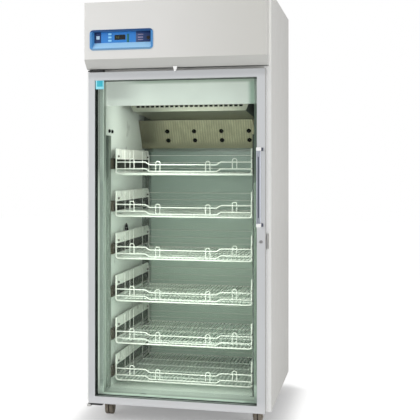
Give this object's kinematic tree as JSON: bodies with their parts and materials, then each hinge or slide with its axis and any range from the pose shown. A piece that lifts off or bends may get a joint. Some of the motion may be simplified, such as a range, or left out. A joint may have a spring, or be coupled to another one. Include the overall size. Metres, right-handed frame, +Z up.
{
  "type": "laboratory refrigerator",
  "caption": "Upright glass-door laboratory refrigerator with wire drawers on slides, a header with a control panel, and casters.",
  "frame": {"origin": "on the floor under the middle of the refrigerator, halfway between the handle's front and the rear of the case", "axes": "+Z up, +X to the right of someone facing the door, -Y out of the door"},
  "size_m": [0.864, 0.974, 1.986],
  "materials": {
    "case_white": "satin",
    "galvanised": "satin",
    "insulation": "matte",
    "liner_white": "satin",
    "fascia_white": "satin",
    "breaker_grey": "satin",
    "bezel_blue": "satin",
    "membrane_blue": "satin",
    "button_blue": "satin",
    "display_black": "gloss",
    "board_black": "matte",
    "door_grey": "satin",
    "glass_clear": "clear",
    "spacer_dark": "satin",
    "gasket_grey": "matte",
    "handle_grey": "satin",
    "handle_white": "satin",
    "chrome": "polished",
    "zinc": "satin",
    "hinge_dark": "satin",
    "stainless": "brushed",
    "duct_grey": "satin",
    "slide_black": "satin",
    "wire_white": "satin",
    "coil_bare": "satin",
    "fan_black": "matte",
    "motor_plate": "satin",
    "compressor_black": "satin",
    "caster_zinc": "satin",
    "tread_dark": "matte",
    "plug_black": "matte",
    "lamp_white": "gloss"
  },
  "bodies": {
    "cabinet": {"outer_case": "case_white", "back_panel": "galvanised", "bottom_pan": "galvanised", "machine_deck": "galvanised", "top_cover": "case_white", "foam": "insulation", "inner_liner": "liner_white", "breaker_frame": "breaker_grey", "header_shell": "case_white", "control_bezel": "bezel_blue", "control_panel": "membrane_blue", "display_window": "display_black", "control_board": "board_black", "lock_strike": "zinc", "hinge_brackets": "hinge_dark", "slide_rails": "slide_black", "uprights": "duct_grey", "light_fascia": "fascia_white", "lamp": "lamp_white", "evaporator_housing": "stainless", "evaporator_coil": "coil_bare", "fan_bulkhead": "motor_plate", "perforated_panel": "stainless", "rear_duct": "duct_grey", "port_plug": "plug_black", "compressor": "compressor_black", "condenser": "coil_bare", "condenser_shroud": "motor_plate", "caster_plates": "caster_zinc"},
    "door": {"door_frame": "door_grey", "glass_panes": "glass_clear", "glass_spacer": "spacer_dark", "glazing_bead": "breaker_grey", "door_gasket": "gasket_grey", "handle_bar": "handle_grey", "handle_posts": "handle_white", "door_magnet": "handle_white"},
    "lock": {"door_lock": "chrome"},
    "key": {"key_switch": "chrome"},
    "air_fan": {"evaporator_fan": "fan_black"},
    "heat_fan": {"condenser_fan": "fan_black"},
    "drawer_1": {"drawer_1": "wire_white"},
    "drawer_2": {"drawer_2": "wire_white"},
    "drawer_3": {"drawer_3": "wire_white"},
    "drawer_4": {"drawer_4": "wire_white"},
    "drawer_5": {"drawer_5": "wire_white"},
    "drawer_6": {"drawer_6": "wire_white"},
    "button_1": {"button_1": "button_blue"},
    "button_2": {"button_2": "button_blue"},
    "button_3": {"button_3": "button_blue"},
    "fork_front_left": {"fork_front_left": "caster_zinc"},
    "wheel_front_left": {"wheel_front_left": "tread_dark"},
    "fork_front_right": {"fork_front_right": "caster_zinc"},
    "wheel_front_right": {"wheel_front_right": "tread_dark"},
    "fork_rear_left": {"fork_rear_left": "caster_zinc"},
    "wheel_rear_left": {"wheel_rear_left": "tread_dark"},
    "fork_rear_right": {"fork_rear_right": "caster_zinc"},
    "wheel_rear_right": {"wheel_rear_right": "tread_dark"},
    "brake_front_left": {"brake_front_left": "caster_zinc"},
    "brake_front_right": {"brake_front_right": "caster_zinc"}
  },
  "joints": [
    {"name": "door_hinge", "type": "hinge", "parent": "cabinet", "child": "door", "pos_m": [-0.404, -0.425, 0.8625], "axis": [0, 0, -1], "range_deg": [0, 115]},
    {"name": "lock_turn", "type": "hinge", "parent": "door", "child": "lock", "pos_m": [0.392, -0.423, 0.859], "axis": [0, -1, 0], "range_deg": [0, 90]},
    {"name": "key_turn", "type": "hinge", "parent": "cabinet", "child": "key", "pos_m": [-0.121, -0.451, 1.787], "axis": [0, 1, 0], "range_deg": [0, 90]},
    {"name": "air_fan_spin", "type": "hinge", "parent": "cabinet", "child": "air_fan", "pos_m": [0, 0.241, 1.522], "axis": [0, 1, 0], "continuous": true},
    {"name": "heat_fan_spin", "type": "hinge", "parent": "cabinet", "child": "heat_fan", "pos_m": [0.12, -0.109, 1.765], "axis": [0, 1, 0], "continuous": true},
    {"name": "drawer_1_slide", "type": "slide", "parent": "cabinet", "child": "drawer_1", "axis": [0, -1, 0], "range_m": [0, 0.35]},
    {"name": "drawer_2_slide", "type": "slide", "parent": "cabinet", "child": "drawer_2", "axis": [0, -1, 0], "range_m": [0, 0.35]},
    {"name": "drawer_3_slide", "type": "slide", "parent": "cabinet", "child": "drawer_3", "axis": [0, -1, 0], "range_m": [0, 0.35]},
    {"name": "drawer_4_slide", "type": "slide", "parent": "cabinet", "child": "drawer_4", "axis": [0, -1, 0], "range_m": [0, 0.35]},
    {"name": "drawer_5_slide", "type": "slide", "parent": "cabinet", "child": "drawer_5", "axis": [0, -1, 0], "range_m": [0, 0.35]},
    {"name": "drawer_6_slide", "type": "slide", "parent": "cabinet", "child": "drawer_6", "axis": [0, -1, 0], "range_m": [0, 0.35]},
    {"name": "button_1_press", "type": "slide", "parent": "cabinet", "child": "button_1", "axis": [0, 1, 0], "range_m": [0, 0.001], "stiffness_N_per_m": 500, "springref_m": -0.0005},
    {"name": "button_2_press", "type": "slide", "parent": "cabinet", "child": "button_2", "axis": [0, 1, 0], "range_m": [0, 0.001], "stiffness_N_per_m": 500, "springref_m": -0.0005},
    {"name": "button_3_press", "type": "slide", "parent": "cabinet", "child": "button_3", "axis": [0, 1, 0], "range_m": [0, 0.001], "stiffness_N_per_m": 500, "springref_m": -0.0005},
    {"name": "swivel_front_left", "type": "hinge", "parent": "cabinet", "child": "fork_front_left", "pos_m": [-0.357, -0.278, 0.07], "axis": [0, 0, 1], "continuous": true},
    {"name": "roll_front_left", "type": "hinge", "parent": "fork_front_left", "child": "wheel_front_left", "pos_m": [-0.357, -0.258, 0.033], "axis": [1, 0, 0], "continuous": true},
    {"name": "swivel_front_right", "type": "hinge", "parent": "cabinet", "child": "fork_front_right", "pos_m": [0.357, -0.278, 0.07], "axis": [0, 0, 1], "continuous": true},
    {"name": "roll_front_right", "type": "hinge", "parent": "fork_front_right", "child": "wheel_front_right", "pos_m": [0.357, -0.258, 0.033], "axis": [1, 0, 0], "continuous": true},
    {"name": "swivel_rear_left", "type": "hinge", "parent": "cabinet", "child": "fork_rear_left", "pos_m": [-0.357, 0.382, 0.07], "axis": [0, 0, 1], "continuous": true},
    {"name": "roll_rear_left", "type": "hinge", "parent": "fork_rear_left", "child": "wheel_rear_left", "pos_m": [-0.357, 0.402, 0.033], "axis": [1, 0, 0], "continuous": true},
    {"name": "swivel_rear_right", "type": "hinge", "parent": "cabinet", "child": "fork_rear_right", "pos_m": [0.357, 0.382, 0.07], "axis": [0, 0, 1], "continuous": true},
    {"name": "roll_rear_right", "type": "hinge", "parent": "fork_rear_right", "child": "wheel_rear_right", "pos_m": [0.357, 0.402, 0.033], "axis": [1, 0, 0], "continuous": true},
    {"name": "pedal_front_left", "type": "hinge", "parent": "fork_front_left", "child": "brake_front_left", "pos_m": [-0.357, -0.288, 0.069], "axis": [1, 0, 0], "range_deg": [0, 20]},
    {"name": "pedal_front_right", "type": "hinge", "parent": "fork_front_right", "child": "brake_front_right", "pos_m": [0.357, -0.288, 0.069], "axis": [1, 0, 0], "range_deg": [0, 20]}
  ],
  "couplings": [
    {"joint": "drawer_1_slide", "follows": "door_hinge", "m_per_rad": 0.174},
    {"joint": "drawer_2_slide", "follows": "door_hinge", "m_per_rad": 0.174},
    {"joint": "drawer_3_slide", "follows": "door_hinge", "m_per_rad": 0.174},
    {"joint": "drawer_4_slide", "follows": "door_hinge", "m_per_rad": 0.174},
    {"joint": "drawer_5_slide", "follows": "door_hinge", "m_per_rad": 0.174},
    {"joint": "drawer_6_slide", "follows": "door_hinge", "m_per_rad": 0.174}
  ]
}
